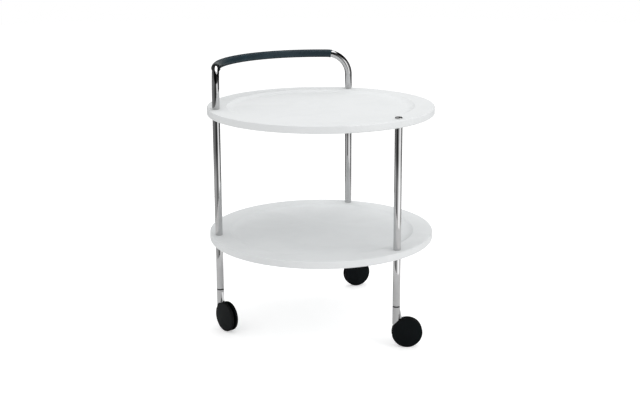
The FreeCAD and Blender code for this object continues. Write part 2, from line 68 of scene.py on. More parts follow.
# Sides of the posts, the bow and the sleeve, and steps along their bends and level arcs.
POST_SIDES, BOW_SIDES, SLEEVE_SIDES = 96, 72, 80
BEND_STEPS, ARC_STEPS = 24, 150
SLEEVE_BEND_STEPS, SLEEVE_ARC_STEPS = 5, 170


def middle(node):
    """Middle of a CAD node's box."""
    low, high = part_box(node)
    return (low + high) / 2


def height_span(node):
    """Lowest and highest point of a CAD node."""
    low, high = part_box(node)
    return low.z, high.z


def floor_point(point):
    return Vector((point.x, point.y, 0))


LEG_AXES = {leg: floor_point(middle(f"{leg}_upper_post")) for leg in LEGS}
AXLES = {leg: middle(f"{leg}_castor_axle") for leg in LEGS}
HANDLE_FOOT, HANDLE_TOP = height_span("handle_bow")


# ---- sizes, colours and light to change ----

def number(name, description, default, **kind):
    return FloatProperty(name=name, description=description, default=default, **kind)


def length(name, description, default):
    return number(name, description, default, min=0, precision=5, unit="LENGTH")


def angle(name, description, degrees):
    return number(name, description, math.radians(degrees), subtype="ANGLE", unit="ROTATION")


def power(name, description, default):
    return number(name, description, default, min=0, unit="POWER")


def strength(name, description, default):
    return number(name, description, default, min=0)


def share(name, description, default):
    return number(name, description, default, min=0, max=1, subtype="FACTOR")


def colour(name, description, default):
    return FloatVectorProperty(name=name, description=description, default=default, size=3,
                               min=0, max=1, subtype="COLOR")


class TrolleySizes(bpy.types.PropertyGroup):
    """Sizes of the pieces modelled here."""

    tube_diameter: length("Tube diameter", "Outside of the chrome tube", 0.016)
    tube_wall: length("Tube wall", "Thickness of the chrome tube", 0.0015)
    tube_edge: length("Tube edge", "Rounding of the cut tube ends", 0.0004)
    bend_radius: length("Bend radius", "Radius of the two bends of the bow handle", 0.05)
    turn_in: angle("Turn-in", "How far the bends turn in from the trays' round", 10.4)
    leather_thickness: length("Leather", "Thickness of the sleeve's leather", 0.0010)
    leather_edge: length("Leather edge", "Rounding of the leather's cut edges", 0.0004)
    leather_fit: length("Leather fit", "Room between the tube and the leather", 0.00006)
    sleeve_cover: angle("Sleeve cover", "How far the sleeve runs down each bend", 10.3)
    seam_side: angle("Seam side", "Turn of the seam from straight down towards the trays' axis", 40)
    seam_twist: angle("Seam twist", "How far the seam climbs inwards at the left end", 58)
    slit_gap: length("Slit gap", "Gap of the seam at the left end, where it opens", 0.0044)
    slit_length: length("Slit length", "How far the seam opens at the left end", 0.078)
    sleeve_flare: length("Sleeve flare", "How far the leather stands off at the left end", 0.0010)
    stitch_pitch: length("Stitch pitch", "Distance between crossed stitches", 0.0058)
    stitch_reach: length("Stitch reach", "Distance of the stitch holes from the seam", 0.0022)
    thread: length("Thread", "Thickness of the sewing thread", 0.0007)
    wheel_inner: length("Wheel inner face", "Distance of a wheel's inner face from the fin's middle",
                        0.003)
    wheel_width: length("Wheel width", "Width of a wheel at its rim", 0.0049)
    wheel_bore: length("Wheel bore", "Radius of the hole for the axle", 0.00305)
    bore_depth: length("Bore depth", "Depth of the hole for the axle", 0.0044)
    disc_radius: length("Disc radius", "Radius of a wheel's disc, inside its tread", 0.031)
    disc_dome: length("Disc dome", "Rise of a disc's outer face", 0.0009)
    disc_edge: length("Disc edge", "Rounding of a disc's rim", 0.0004)
    tread_radius: length("Tread radius", "Radius of the tread's crown", 0.033)
    tread_edge: length("Tread edge", "Rounding of the tread's inner shoulder", 0.0007)
    tread_crown: length("Tread crown", "Width of the tread's level crown", 0.0015)
    tread_drop: length("Tread drop", "Drop of the tread's outer shoulder", 0.0008)


class TrolleyFinish(bpy.types.PropertyGroup):
    """Colours of the finishes."""

    lacquer: colour("Tray lacquer", "White lacquer of the trays", (0.80, 0.815, 0.82))
    lacquer_worn: colour("Rubbed lacquer", "Lacquer where cups and cloths rub it",
                         (0.76, 0.775, 0.78))
    chrome: colour("Chrome", "Polished chrome of tubes and cap", (0.54, 0.54, 0.545))
    castor_chrome: colour("Castor chrome", "Duller chrome of the castor bodies", (0.50, 0.50, 0.505))
    chrome_haze: colour("Chrome haze", "Chrome where hands have dulled it", (0.49, 0.49, 0.49))
    leather: colour("Leather", "Dyed leather of the sleeve", (0.008, 0.023, 0.033))
    leather_worn: colour("Rubbed leather", "High spots of the sleeve", (0.017, 0.042, 0.056))
    # Pale grey painted on the sleeve's left end: a painted sheen that stands in for a highlight on
    # the dark leather.
    leather_end_sheen: colour("Leather at the left end", "Leather that is rubbed pale",
                        (0.150, 0.160, 0.158))
    thread: colour("Thread", "Sewing thread", (0.010, 0.015, 0.022))
    wheel: colour("Wheel disc", "Moulded wheel discs", (0.0022, 0.0036, 0.0042))
    tread: colour("Wheel tread", "Rubber tread", (0.003, 0.003, 0.0033))
    dark_nylon: colour("Dark nylon", "Castor sockets and swivel washers", (0.012, 0.012, 0.013))
    clear_nylon: colour("Clear nylon", "Washers between tubes and trays", (0.42, 0.43, 0.42))
    steel: colour("Plain steel", "Studs, stems and axles", (0.46, 0.45, 0.43))
    aluminium: colour("Aluminium", "Plugs in the tube ends", (0.68, 0.69, 0.70))
    brass: colour("Brass", "Bushes in the trays", (0.72, 0.52, 0.24))


class TrolleyStage(bpy.types.PropertyGroup):
    """Floor, light and the grey walls that the chrome reflects."""

    floor_radius: length("Floor radius", "Radius of the pale floor", 7)
    key_power: power("Key light", "Power of the large soft lamp", 22)
    top_power: power("Top light", "Power of the soft lamp overhead", 11)
    ambient: strength("Ambient light", "Strength of the light from all round", 0.84)
    skylight: share("Skylight", "Width of the ceiling's opening, as a share of the ceiling", 0.42)
    floor_glow: strength("Floor glow", "White that the camera sees on the floor without light", 0.40)
    wall_radius: length("Wall radius", "Radius of the grey walls", 0.70)
    wall_foot: length("Wall foot", "Height at which the grey walls begin", 0.05)
    wall_height: length("Wall height", "Height of the grey walls", 1.0)
    wall_light: strength("Wall light", "Brightest part of the grey walls", 2.1)


# ---- modelling helpers ----

def deselect():
    if bpy.context.object is not None and bpy.context.object.mode != "OBJECT":
        bpy.ops.object.mode_set(mode="OBJECT")
    bpy.ops.object.select_all(action="DESELECT")


def pick(piece):
    """Make a piece the only one selected."""
    deselect()
    piece.select_set(True)
    bpy.context.view_layer.objects.active = piece


def begin(name):
    """Name the primitive just added, put its place in its mesh, and open it for editing."""
    piece = bpy.context.object
    piece.name = name
    piece.data.name = name
    bpy.ops.object.transform_apply()
    bpy.ops.object.mode_set(mode="EDIT")
    bpy.ops.mesh.select_all(action="SELECT")
    return piece


def add_ring(name, radius, centre, direction, steps):
    """Open circle round a direction, in edit mode."""
    deselect()
    bpy.ops.mesh.primitive_circle_add(
        vertices=steps, radius=radius, fill_type="NOTHING", location=centre,
        rotation=direction.to_track_quat("Z", "Y").to_euler())
    return begin(name)


def extrude(step):
    bpy.ops.mesh.extrude_region_move(TRANSFORM_OT_translate={"value": step})


def spin(piece, centre, axis, turn, steps, expected):
    """Spin the selection right-handed about an axis, and check where its middle ends."""
    bpy.ops.mesh.spin(steps=steps, angle=-turn, center=centre, axis=axis)
    chosen = [vert.co for vert in bmesh.from_edit_mesh(piece.data).verts if vert.select]
    end = sum(chosen, Vector()) / len(chosen)
    if (end - expected).length > SPIN_SLACK:
        raise RuntimeError(f"{piece.name} was spun to the wrong place")


def weld():
    bpy.ops.mesh.select_all(action="SELECT")
    bpy.ops.mesh.remove_doubles(threshold=WELD)


def close_up():
    """Merge doubles and turn all faces outwards."""
    weld()
    bpy.ops.mesh.normals_make_consistent(inside=False)
    bpy.ops.object.mode_set(mode="OBJECT")


def apply_modifier(piece, kind, **settings):
    pick(piece)
    modifier = piece.modifiers.new(kind.title(), kind)
    for key, value in settings.items():
        setattr(modifier, key, value)
    bpy.ops.object.modifier_apply(modifier=modifier.name)


def add_wall(piece, thickness, side, edge):
    """Thicken an open surface inwards at side -1 or outwards at 1, and round its sharp edges."""
    apply_modifier(piece, "SOLIDIFY", thickness=thickness, offset=side)
    apply_modifier(piece, "BEVEL", width=edge, segments=3, limit_method="ANGLE", angle_limit=SHARP)


def dress(piece, material, body="frame", replaced=(), smooth=35):
    """Smooth shading, material, slot and body of a finished piece."""
    pick(piece)
    bpy.ops.object.shade_smooth_by_angle(angle=math.radians(smooth))
    piece.data.materials.clear()
    piece.data.materials.append(material)
    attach(piece, body)
    if replaced:
        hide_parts(*replaced)


def dress_nodes(material, *names):
    """Give CAD nodes a material."""
    for name in names:
        mesh = NODES[name].data
        mesh.materials.clear()
        mesh.materials.append(material)


def copy_piece(source, name, place):
    """A copy with its own mesh, put in place by a matrix that goes into the mesh."""
    copy = source.copy()
    copy.data = source.data.copy()
    copy.name = name
    copy.data.name = name
    bpy.context.collection.objects.link(copy)
    pick(copy)
    copy.matrix_world = place
    bpy.ops.object.transform_apply()
    return copy


def turn_profile(name, points, steps=96):
    """Solid turned about the Y axis from (radius, y) points, drawn by extruding one vertex."""
    deselect()
    first = points[0]
    bpy.ops.mesh.primitive_plane_add(size=SPECK, location=(first[0], first[1], 0))
    begin(name)
    bpy.ops.mesh.merge(type="CENTER")
    for before, after in zip(points, points[1:]):
        extrude((after[0] - before[0], after[1] - before[1], 0))
    bpy.ops.mesh.select_all(action="SELECT")
    bpy.ops.mesh.spin(steps=steps, angle=2 * math.pi, center=(0, 0, 0), axis=(0, 1, 0))
    close_up()
    return bpy.context.object


def rounded(centre, radius, start, end, steps):
    """Points on an arc, by angles in degrees."""
    turns = [math.radians(start + (end - start) * step / steps) for step in range(steps + 1)]
    return [(centre[0] + radius * math.cos(turn), centre[1] + radius * math.sin(turn))
            for turn in turns]


# ---- the bow's centre line ----

class BowRun:
    """Centre line of the bow: up the left leg, over a bend, round the level arc, and down again."""

    def __init__(self):
        sizes = bpy.context.scene.trolley_sizes
        left, back = LEG_AXES["left"], LEG_AXES["back"]
        outward = (left + back).normalized()
        half_span = (left - back).length / 2
        self.half_angle = math.asin(half_span / left.length) - sizes.turn_in
        self.bend = sizes.bend_radius
        self.height = HANDLE_TOP - sizes.tube_diameter / 2
        self.radius = ((half_span - self.bend * math.cos(self.half_angle))
                       / math.sin(self.half_angle))
        offset = ((left + back).length / 2 + self.bend * math.sin(self.half_angle)
                  - self.radius * math.cos(self.half_angle))
        self.centre = outward * offset + UP * self.height
        self.start = math.atan2(outward.y, outward.x) + self.half_angle
        self.cover = sizes.sleeve_cover
        self.covered = 2 * self.bend * self.cover + 2 * self.radius * self.half_angle

    def radial(self, turned):
        """Level direction away from the arc's centre, by the angle turned from the left end."""
        return Vector((math.cos(self.start - turned), math.sin(self.start - turned), 0))

    def tangent(self, turned):
        """Direction of travel from left to back."""
        return Vector((math.sin(self.start - turned), -math.cos(self.start - turned), 0))

    def arc_point(self, turned):
        return self.centre + self.radius * self.radial(turned)

    def heading(self, leg):
        """Level direction in which a bend leads away from its leg."""
        return self.tangent(0) if leg == "left" else -self.tangent(2 * self.half_angle)

    def bend_centre(self, leg):
        """Middle of the quarter round that a leg's bend follows."""
        return LEG_AXES[leg] + self.heading(leg) * self.bend + UP * (self.height - self.bend)

    def follow(self, piece, turn, bend_steps, arc_steps, end):
        """Spin a ring over the left bend, along the level arc and down the back bend."""
        last = 2 * self.half_angle
        spin(piece, self.bend_centre("left"), UP.cross(self.tangent(0)), turn, bend_steps,
             self.arc_point(0))
        spin(piece, self.centre, UP, -last, arc_steps, self.arc_point(last))
        spin(piece, self.bend_centre("back"), UP.cross(self.tangent(last)), turn, bend_steps, end)

    def station(self, along):
        """Centre, direction, inward side and downward side, by the distance along the sleeve."""
        wanted = (along - self.bend * self.cover) / self.radius
        turned = min(max(wanted, 0), 2 * self.half_angle)
        inward = -self.radial(turned)
        if wanted == turned:
            return self.arc_point(turned), self.tangent(turned), inward, -UP
        tilt = (wanted - turned) * self.radius / self.bend
        leg = "left" if tilt < 0 else "back"
        away = UP * math.cos(tilt) + self.tangent(turned) * math.sin(tilt)
        direction = self.tangent(turned) * math.cos(tilt) - UP * math.sin(tilt)
        return self.bend_centre(leg) + self.bend * away, direction, inward, -away

    def along(self, point):
        """Distance along the sleeve of the station nearest to a point."""
        before = self.bend * self.cover
        end = 2 * self.half_angle
        level = point - self.centre
        turned = self.start - math.atan2(level.y, level.x)
        turned = (turned + math.pi) % (2 * math.pi) - math.pi
        if 0 <= turned <= end:
            return before + self.radius * turned
        leg, edge = ("left", 0) if turned < 0 else ("back", end)
        off = point - self.bend_centre(leg)
        tilt = math.atan2(off.dot(self.tangent(edge)), off.dot(UP))
        return before + self.radius * edge + self.bend * tilt


# ---- effects that several materials share ----

def add(tree, kind, values=None, **settings):
    """A shader node with its socket values and settings."""
    made = tree.nodes.new(f"ShaderNode{kind}")
    for key, value in settings.items():
        setattr(made, key, value)
    for socket, value in (values or {}).items():
        made.inputs[socket].default_value = value
    return made


def wire(tree, *links):
    """Join nodes, each link given as a node, its output, a node and its input."""
    for source, output, target, entry in links:
        tree.links.new(source.outputs[output], target.inputs[entry])


def is_ray(tree, *kinds):
    """1 for rays of the kinds named, and 0 for all others."""
    rays = add(tree, "LightPath")
    found = rays.outputs[f"Is {kinds[0]} Ray"]
    for kind in kinds[1:]:
        either = add(tree, "Math", operation="MAXIMUM")
        tree.links.new(found, either.inputs[0])
        tree.links.new(rays.outputs[f"Is {kind} Ray"], either.inputs[1])
        found = either.outputs[0]
    return found


def new_group(name, inputs, outputs):
    """An empty effect group with float inputs, a vector and named outputs."""
    group = bpy.data.node_groups.new(name, "ShaderNodeTree")
    group.interface.new_socket(name="Vector", in_out="INPUT", socket_type="NodeSocketVector")
    for socket, value in inputs.items():
        made = group.interface.new_socket(name=socket, in_out="INPUT",
                                          socket_type="NodeSocketFloat")
        made.default_value = value
    for socket in outputs:
        group.interface.new_socket(name=socket, in_out="OUTPUT", socket_type="NodeSocketFloat")
    entry = group.nodes.new("NodeGroupInput")
    leave = group.nodes.new("NodeGroupOutput")
    return group, entry, leave


def scaled(group, entry):
    """The group's vector times its scale."""
    times = add(group, "VectorMath", operation="SCALE")
    wire(group, (entry, "Vector", times, 0), (entry, "Scale", times, "Scale"))
    return times.outputs[0]


def build_fine_grain():
    """Even, fine height variation, as on moulded plastic or sprayed lacquer."""
    group, entry, leave = new_group("Fine grain", {"Scale": 900}, ["Height"])
    grain = add(group, "TexNoise", {"Scale": 1, "Detail": 3, "Roughness": 0.55})
    group.links.new(scaled(group, entry), grain.inputs["Vector"])
    wire(group, (grain, "Fac", leave, "Height"))


def build_noise_mask(name, scale, texture, low, high):
    """A mask of a noise's high spots, from nothing at a low value to all at a high one."""
    group, entry, leave = new_group(name, {"Scale": scale}, ["Mask"])
    spots = add(group, "TexNoise", {"Scale": 1, **texture})
    window = add(group, "MapRange", {"From Min": low, "From Max": high})
    group.links.new(scaled(group, entry), spots.inputs["Vector"])
    wire(group, (spots, "Fac", window, "Value"), (window, "Result", leave, "Mask"))


def build_rubbing():
    """Soft patches where hands and cloths have rubbed a surface."""
    build_noise_mask("Rubbing", 12, {"Detail": 5, "Roughness": 0.6, "Distortion": 0.4}, 0.42, 0.68)


def build_hairlines():
    """Fine scratches drawn out along the vector's long side."""
    build_noise_mask("Hairlines", 60, {"Detail": 6, "Roughness": 0.75}, 0.58, 0.66)


def build_leather_grain():
    """Pebbled grain: height of the pebbles, and a mask of the creases between them."""
    group, entry, leave = new_group("Leather grain", {"Scale": 800}, ["Height", "Crease"])
    wander = add(group, "TexNoise", {"Scale": 0.35, "Detail": 2})
    shift = add(group, "VectorMath", operation="MULTIPLY_ADD")
    shift.inputs[1].default_value = (0.9, 0.9, 0.9)
    cells = add(group, "TexVoronoi", {"Scale": 1, "Randomness": 0.9}, feature="DISTANCE_TO_EDGE")
    bulge = add(group, "MapRange", {"From Min": 0, "From Max": 0.28},
                interpolation_type="SMOOTHSTEP")
    crease = add(group, "MapRange", {"From Min": 0.10, "From Max": 0})
    vector = scaled(group, entry)
    group.links.new(vector, wander.inputs["Vector"])
    group.links.new(vector, shift.inputs[2])
    wire(group, (wander, "Color", shift, 0), (shift, 0, cells, "Vector"),
         (cells, "Distance", bulge, "Value"), (cells, "Distance", crease, "Value"),
         (bulge, "Result", leave, "Height"), (crease, "Result", leave, "Crease"))


def build_effects():
    for build in (build_fine_grain, build_rubbing, build_hairlines, build_leather_grain):
        build()


class Finish:
    """A material in the making: its tree, its shader and its Object coordinates."""

    def __init__(self, name, metallic=0.0, **sockets):
        self.material = bpy.data.materials.new(name)
        self.material.use_nodes = True
        self.tree = self.material.node_tree
        self.shader = self.tree.nodes["Principled BSDF"]
        self.shader.inputs["Metallic"].default_value = metallic
        for socket, value in sockets.items():
            self.shader.inputs[socket.replace("_", " ")].default_value = value
        self.place = add(self.tree, "TexCoord").outputs["Object"]

    def link(self, source, target):
        self.tree.links.new(source, target)

    def effect(self, name, vector=None, **values):
        """An effect group with its values, on Object coordinates or another vector."""
        made = self.tree.nodes.new("ShaderNodeGroup")
        made.node_tree = bpy.data.node_groups[name]
        for socket, value in values.items():
            made.inputs[socket].default_value = value
        self.link(vector or self.place, made.inputs["Vector"])
        return made

    def stretched(self, stretch):
        """Object coordinates drawn out, for lines that run along the piece."""
        mapping = add(self.tree, "Mapping", {"Scale": stretch})
        self.link(self.place, mapping.inputs["Vector"])
        return mapping.outputs["Vector"]

    def range(self, mask, low, high):
        """A mask made into a value between two limits."""
        window = add(self.tree, "MapRange", {"To Min": low, "To Max": high})
        self.link(mask, window.inputs["Value"])
        return window.outputs["Result"]

    def times(self, first, second):
        """One mask where the other is."""
        product = add(self.tree, "Math", operation="MULTIPLY")
        self.link(first, product.inputs[0])
        self.link(second, product.inputs[1])
        return product.outputs[0]

    def blend(self, mask, low, high):
        """A colour between two colours or colour sockets, by a mask."""
        mix = add(self.tree, "Mix", data_type="RGBA")
        ends = {"A_Color": low, "B_Color": high}
        for socket in mix.inputs:
            end = ends.get(socket.identifier)
            if isinstance(end, bpy.types.NodeSocket):
                self.link(end, socket)
            elif end is not None:
                socket.default_value = (*end, 1)
        self.link(mask, mix.inputs["Factor"])
        return next(socket for socket in mix.outputs if socket.identifier == "Result_Color")

    def add_up(self, first, second, part):
        """One height plus another times a part."""
        total = add(self.tree, "Math", {1: part}, operation="MULTIPLY_ADD")
        self.link(second, total.inputs[0])
        self.link(first, total.inputs[2])
        return total.outputs[0]

    def bump(self, height, distance, amount):
        """Raise the surface by a height between 0 and 1 times a distance."""
        made = add(self.tree, "Bump", {"Strength": amount, "Distance": distance})
        self.link(height, made.inputs["Height"])
        self.link(made.outputs["Normal"], self.shader.inputs["Normal"])

    def colour(self, source):
        if isinstance(source, bpy.types.NodeSocket):
            self.link(source, self.shader.inputs["Base Color"])
        else:
            self.shader.inputs["Base Color"].default_value = (*source, 1)

    def roughness(self, mask, between):
        """Roughness between two values, by a mask."""
        self.link(self.range(mask, *between), self.shader.inputs["Roughness"])


# What rubbing does to the colour of plastic, and to that of bare metal.
PALER, DULLER = 1.25, 0.85


def finish_colours():
    return bpy.context.scene.trolley_finish


def tray_lacquer():
    """Satin white lacquer with a fine peel, a little greyer and duller where it is rubbed."""
    colours = finish_colours()
    finish = Finish("tray_lacquer", Specular_IOR_Level=0.08)
    rubbed = finish.effect("Rubbing", Scale=9).outputs["Mask"]
    peel = finish.effect("Fine grain", Scale=700).outputs["Height"]
    finish.colour(finish.blend(rubbed, colours.lacquer, colours.lacquer_worn))
    finish.roughness(rubbed, between=(0.48, 0.56))
    finish.bump(peel, distance=0.00003, amount=0.6)
    return finish.material


def polished_chrome(name, bright, dull, roughness):
    """Chrome with hairlines along the piece and patches dulled by hands."""
    finish = Finish(name, metallic=1.0)
    hazy = finish.effect("Rubbing", Scale=28).outputs["Mask"]
    lines = finish.effect("Hairlines", finish.stretched((1, 1, 0.06)), Scale=900).outputs["Mask"]
    worn = finish.add_up(hazy, lines, part=0.5)
    finish.colour(finish.blend(hazy, bright, dull))
    finish.roughness(worn, roughness)
    finish.bump(lines, distance=0.000004, amount=0.4)
    return finish.material


def sleeve_leather():
    """Dark dyed leather with pebbled grain, lighter on rubbed high spots, with a painted sheen of
    pale grey streaks at its left end.
    """
    colours = finish_colours()
    finish = Finish("sleeve_leather", Specular_IOR_Level=0.3)
    grain = finish.effect("Leather grain", Scale=1300)
    folds = finish.effect("Fine grain", Scale=120).outputs["Height"]
    rubbed = finish.effect("Rubbing", Scale=34).outputs["Mask"]
    high = finish.range(grain.outputs["Height"], 0.2, 1.0)
    worn = finish.times(high, rubbed)
    dyed = finish.blend(worn, colours.leather, colours.leather_worn)
    # Painted sheen: pale grey streaks over the sleeve's left end, standing in for a highlight; the
    # same mask also raises the surface a little.
    end = add(finish.tree, "Attribute", attribute_name="painted_end_sheen").outputs["Fac"]
    place = add(finish.tree, "Attribute", attribute_name="sleeve_place").outputs["Vector"]
    sheen_streaks = finish.effect("Rubbing", place, Scale=4.5).outputs["Mask"]
    end_sheen = finish.times(end, finish.range(sheen_streaks, 0.5, 1.0))
    finish.colour(finish.blend(end_sheen, dyed, colours.leather_end_sheen))
    finish.roughness(rubbed, between=(0.55, 0.44))
    folded = finish.add_up(grain.outputs["Height"], folds, part=1.6)
    finish.bump(finish.add_up(folded, end_sheen, part=3.0), distance=0.00008, amount=0.6)
    return finish.material


def plain_plastic(name, base, roughness, grain_scale, depth, gloss=0.5):
    """Moulded plastic, nylon, rubber or waxed thread, paler where it is rubbed."""
    finish = Finish(name, Specular_IOR_Level=gloss)
    rubbed = finish.effect("Rubbing", Scale=45).outputs["Mask"]
    grain = finish.effect("Fine grain", Scale=grain_scale).outputs["Height"]
    finish.colour(finish.blend(rubbed, base, [part * PALER for part in base]))
    finish.roughness(rubbed, roughness)
    finish.bump(grain, depth, amount=0.6)
    return finish.material


def plain_metal(name, base, roughness):
    """Machined metal with fine turning lines."""
    finish = Finish(name, metallic=1.0)
    lines = finish.effect("Hairlines", finish.stretched((1, 1, 8)), Scale=500).outputs["Mask"]
    rubbed = finish.effect("Rubbing", Scale=60).outputs["Mask"]
    finish.colour(finish.blend(rubbed, base, [part * DULLER for part in base]))
    finish.roughness(finish.add_up(rubbed, lines, part=0.4), roughness)
    finish.bump(lines, distance=0.00001, amount=0.5)
    return finish.material


# ---- pieces ----

class TROLLEY_OT_trays(bpy.types.Operator):
    """Lacquer both trays"""

    bl_idname = "trolley.trays"
    bl_label = "Trays"

    def execute(self, context):
        dress_nodes(tray_lacquer(), "upper_tray", "lower_tray")
        return {"FINISHED"}


class TROLLEY_OT_posts(bpy.types.Operator):
    """Model the six leg tubes between the trays and above the castors"""

    bl_idname = "trolley.posts"
    bl_label = "Leg tubes"

    def execute(self, context):
        sizes = context.scene.trolley_sizes
        colours = finish_colours()
        chrome = polished_chrome("tube_chrome", colours.chrome, colours.chrome_haze, (0.035, 0.085))
        for tier in ("upper", "lower"):
            bottom, top = height_span(f"left_{tier}_post")
            first = LEG_AXES["left"]
            deselect()
            bpy.ops.mesh.primitive_cylinder_add(
                vertices=POST_SIDES, radius=sizes.tube_diameter / 2, depth=top - bottom,
                end_fill_type="NOTHING", location=first + UP * (top + bottom) / 2)
            model = begin(f"left_{tier}_tube")
            add_wall(model, sizes.tube_wall, -1, sizes.tube_edge)
            for leg in ("back", "front"):
                move = Matrix.Translation(LEG_AXES[leg] - first)
                dress(copy_piece(model, f"{leg}_{tier}_tube", move), chrome,
                      replaced=[f"{leg}_{tier}_post"])
            dress(model, chrome, replaced=[f"left_{tier}_post"])
        dress_nodes(chrome, "front_post_cap")
        return {"FINISHED"}


class TROLLEY_OT_handle_bow(bpy.types.Operator):
    """Bend the chrome bow from the left leg round to the back leg"""

    bl_idname = "trolley.handle_bow"
    bl_label = "Handle bow"

    def execute(self, context):
        sizes = context.scene.trolley_sizes
        run = BowRun()
        straight = UP * (run.height - run.bend - HANDLE_FOOT)
        bow = add_ring("handle_tube", sizes.tube_diameter / 2,
                       LEG_AXES["left"] + UP * HANDLE_FOOT, UP, BOW_SIDES)
        extrude(straight)
        run.follow(bow, math.pi / 2, BEND_STEPS, ARC_STEPS,
                   LEG_AXES["back"] + UP * (run.height - run.bend))
        extrude(-straight)
        close_up()
        add_wall(bow, sizes.tube_wall, -1, sizes.tube_edge)
        dress(bow, bpy.data.materials["tube_chrome"], replaced=["handle_bow"])
        return {"FINISHED"}


class TROLLEY_OT_leather_sleeve(bpy.types.Operator):
    """Wrap the leather sleeve round the bow, with its seam and the slit at its left end"""

    bl_idname = "trolley.leather_sleeve"
    bl_label = "Leather sleeve"

    def execute(self, context):
        sizes = context.scene.trolley_sizes
        run = BowRun()
        inside = sizes.tube_diameter / 2 + sizes.leather_fit
        start, direction, inward, down = run.station(0)
        sleeve = add_ring("leather_sleeve", inside, start, direction, SLEEVE_SIDES)
        open_at_seam(start, down * math.cos(sizes.seam_side) + inward * math.sin(sizes.seam_side))
        run.follow(sleeve, run.cover, SLEEVE_BEND_STEPS, SLEEVE_ARC_STEPS,
                   run.station(run.covered)[0])
        weld()
        turn_outwards(sleeve, run)
        shape_leather(sleeve, run, sizes)
        add_wall(sleeve, sizes.leather_thickness, 1, sizes.leather_edge)
        mark_places(sleeve, run)
        dress(sleeve, sleeve_leather(), replaced=["handle_grip"], smooth=40)
        return {"FINISHED"}


# How the leather lies, as heights and as how far each reaches, along it or round it.
# The first also sets how far the painted sheen reaches from the left end, and the second sets the
# length of its streaks.
GATHER_REACH = 0.062
SHEEN_STREAK_LENGTH = 0.15
FLARE_REACH = 0.004
BACK_LIFT, BACK_LIFT_REACH = 0.0002, 0.002
SLIT_LIFT, SLIT_LIFT_ANGLE = 0.0006, 0.45
PILLOW, PILLOW_RISE, PILLOW_REACH = 0.0002, 0.0016, 0.006
LUMP, LUMPS_ROUND, LUMP_LENGTH = 0.00006, 1.1, 0.021
FOLD, FOLDS_ROUND, FOLD_LENGTH = 0.0007, 3.4, 0.045
# Slit lengths over which the seam climbs, and how the slit and the pull round it taper off.
CLIMB_SLITS, SLIT_TAPER, PULL_TAPER = 1.5, 0.8, 1.5


def bell(distance, reach):
    """1 at no distance, falling smoothly to nothing past the reach."""
    return math.exp(-(distance / reach) ** 2)


def open_at_seam(centre, seam):
    """Take the ring's edge nearest to the seam away, so that the wrap is open there."""
    mesh = bmesh.from_edit_mesh(bpy.context.object.data)
    nearest = max(mesh.edges, key=lambda edge: sum(
        (vert.co - centre).dot(seam) for vert in edge.verts))
    bpy.ops.mesh.select_all(action="DESELECT")
    bpy.ops.mesh.select_mode(type="EDGE")
    nearest.select = True
    bpy.ops.mesh.delete(type="EDGE")
    bpy.ops.mesh.select_mode(type="VERT")
    bpy.ops.mesh.select_all(action="SELECT")


def mark_places(sleeve, run):
    """Store each point's place round and along the sleeve, and how much painted sheen the left end
    gives it there.
    """
    attributes = sleeve.data.attributes
    attributes.new("sleeve_place", "FLOAT_VECTOR", "POINT")
    attributes.new("painted_end_sheen", "FLOAT", "POINT")
    places, rubbed = attributes["sleeve_place"].data, attributes["painted_end_sheen"].data
    for vert, place, value in zip(sleeve.data.vertices, places, rubbed):
        along = run.along(vert.co)
        centre, direction, inward, down = run.station(along)
        off = (vert.co - centre).normalized()
        place.vector = (off.dot(down), off.dot(inward), along / SHEEN_STREAK_LENGTH)
        # Share of the painted sheen at the left end, fading along the sleeve.
        value.value = bell(along, GATHER_REACH)


def turn_outwards(sleeve, run):
    """Turn the open wrap's faces away from the tube."""
    bpy.ops.mesh.normals_make_consistent(inside=False)
    face = next(iter(bmesh.from_edit_mesh(sleeve.data).faces))
    middle_point = face.calc_center_median()
    if face.normal.dot(middle_point - run.station(run.along(middle_point))[0]) < 0:
        bpy.ops.mesh.flip_normals()
    bpy.ops.object.mode_set(mode="OBJECT")


def seam_climb(along, sizes):
    """How far the seam has turned inwards, by the distance along the sleeve."""
    return sizes.seam_twist * max(0, 1 - along / (CLIMB_SLITS * sizes.slit_length))


def shape_leather(sleeve, run, sizes):
    """Open the slit, lift the leather's lips, and give it folds and a sunken seam."""
    for vert in sleeve.data.vertices:
        along = run.along(vert.co)
        centre, direction, inward, down = run.station(along)
        off = vert.co - centre
        radius = off.length
        turn = math.atan2(off.dot(inward), off.dot(down))
        from_seam = (turn - sizes.seam_side + math.pi) % (2 * math.pi) - math.pi
        side = math.copysign(1, from_seam)
        spread = abs(from_seam)
        into_slit = max(0, 1 - along / sizes.slit_length)
        opening = sizes.slit_gap / 2 / radius * into_slit ** SLIT_TAPER
        pull = max(0, 1 - spread / math.pi) ** PULL_TAPER
        turn += side * opening * pull + seam_climb(along, sizes)
        lip = (sizes.sleeve_flare * math.exp(-along / FLARE_REACH)
               + BACK_LIFT * math.exp(-(run.covered - along) / BACK_LIFT_REACH)
               + SLIT_LIFT * into_slit * bell(spread, SLIT_LIFT_ANGLE))
        arc = spread * radius
        pillow = PILLOW * (1 - bell(arc, PILLOW_RISE)) * bell(arc, PILLOW_REACH)
        around = Vector((math.cos(turn), math.sin(turn), 0))
        lumps = noise.noise(around * LUMPS_ROUND + UP * along / LUMP_LENGTH)
        folds = noise.noise(around * FOLDS_ROUND + UP * along / FOLD_LENGTH)
        gathered = bell(along, GATHER_REACH) * max(0, folds)
        radius += lip + pillow + LUMP * (1 + lumps) + FOLD * gathered
        vert.co = centre + radius * (down * math.cos(turn) + inward * math.sin(turn))


# Rise of a stitch, its shape as shares of that, its lift off the leather, its slant and sides.
STITCH_RISE, STITCH_LIFT, STITCH_SLANT, STITCH_SIDES = 0.00035, 0.0002, 0.62, 6
STITCH_HEIGHTS = (-1, 0.3, 0.7, 0.8, 0.7, 0.3, -1)
# Seam that stays bare between the slit and the first stitch, and at both ends together.
FIRST_STITCH, BARE_ENDS = 0.002, 0.006


